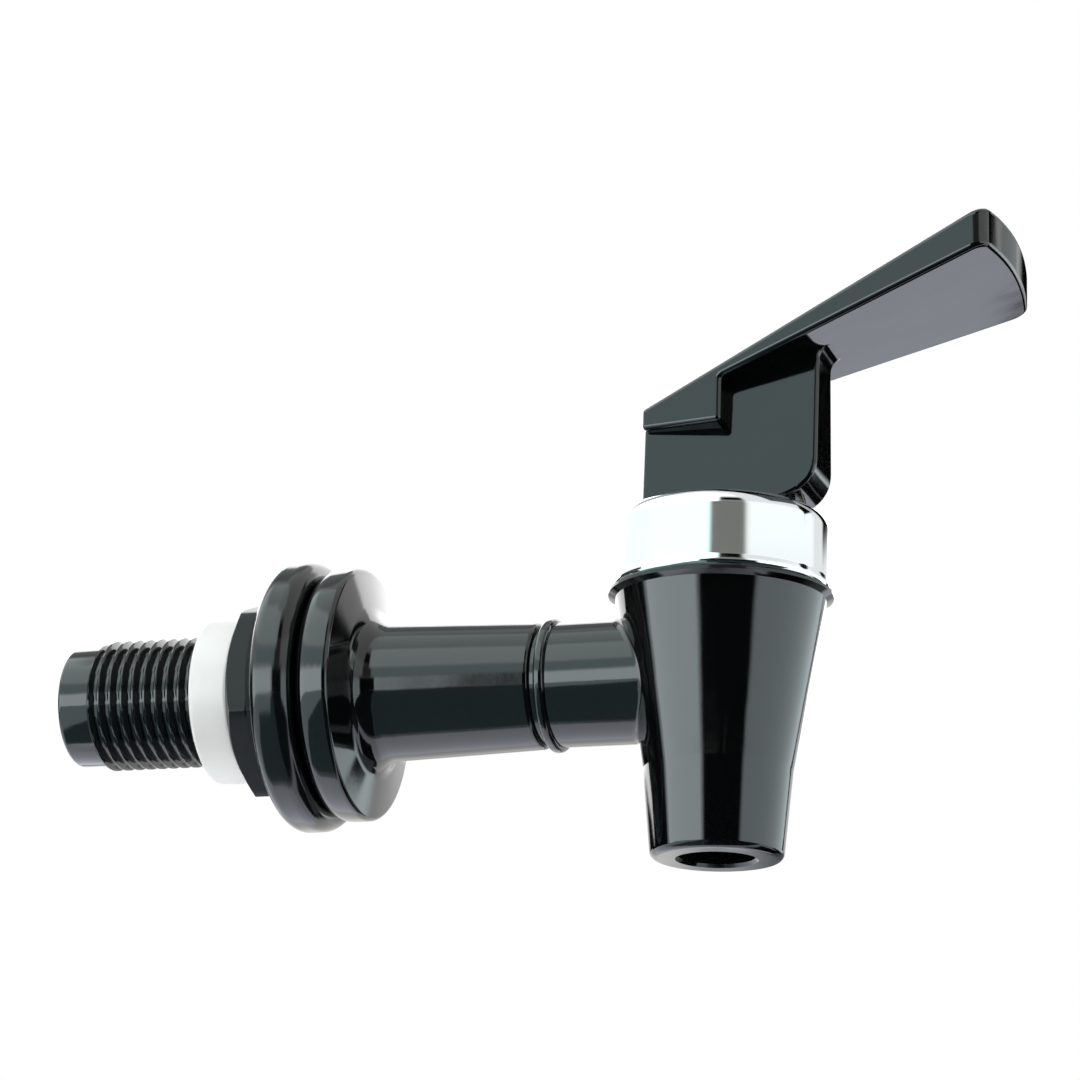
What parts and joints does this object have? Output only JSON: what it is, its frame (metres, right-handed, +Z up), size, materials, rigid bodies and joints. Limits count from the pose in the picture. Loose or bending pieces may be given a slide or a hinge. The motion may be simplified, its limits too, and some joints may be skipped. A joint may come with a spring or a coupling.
{
  "type": "beverage dispenser faucet",
  "caption": "Push-lever dispenser faucet: threaded shank with gasket, nut and washer, conical spout, plated bonnet and a sprung valve that the lever's cam heel lifts.",
  "frame": {"origin": "on the shank's axis, at the back face of the flange, where the gasket seats", "axes": "+X along the shank, out of the dispenser; +Z up; the spout's outlet points along -Z"},
  "size_m": [0.1178, 0.033, 0.0741],
  "materials": {
    "black_plastic": "polished moulding",
    "nut_plastic": "satin moulding",
    "white_nylon": "satin moulding",
    "gasket_rubber": "smooth moulded rubber",
    "ring_rubber": "smooth moulded rubber",
    "silicone": "translucent soft silicone",
    "plating": "bright plated",
    "steel": "turned"
  },
  "bodies": {
    "housing": {"shank": "black_plastic", "joint_ring": "ring_rubber", "spout_body": "black_plastic", "gasket": "gasket_rubber", "bonnet": "plating", "seat_cup": "silicone", "spring": "steel"},
    "valve": {"stem": "steel", "lever_pin": "steel"},
    "lever": {"lever": "black_plastic"},
    "washer": {"tail_washer": "white_nylon"},
    "nut": {"lock_nut": "nut_plastic"}
  },
  "joints": [
    {"name": "stem_lift", "type": "slide", "parent": "housing", "child": "valve", "axis": [0, 0, 1], "range_m": [0, 0.00363], "stiffness_N_per_m": 1445, "springref_m": -0.005, "deforming": ["spring", "seat_cup"]},
    {"name": "lever_tilt", "type": "hinge", "parent": "valve", "child": "lever", "pos_m": [0.0485, 0, 0.0258], "axis": [0, 1, 0], "range_deg": [0, 32]},
    {"name": "nut_travel", "type": "slide", "parent": "housing", "child": "washer", "axis": [-1, 0, 0], "range_m": [0, 0.012]},
    {"name": "nut_turn", "type": "hinge", "parent": "washer", "child": "nut", "pos_m": [0, 0, 0], "axis": [-1, 0, 0], "range_deg": [0, 2880]}
  ],
  "couplings": [
    {"joint": "lever_tilt", "follows": "stem_lift", "rad_per_m": 153.85},
    {"joint": "nut_turn", "follows": "nut_travel", "rad_per_m": 4188.8}
  ]
}
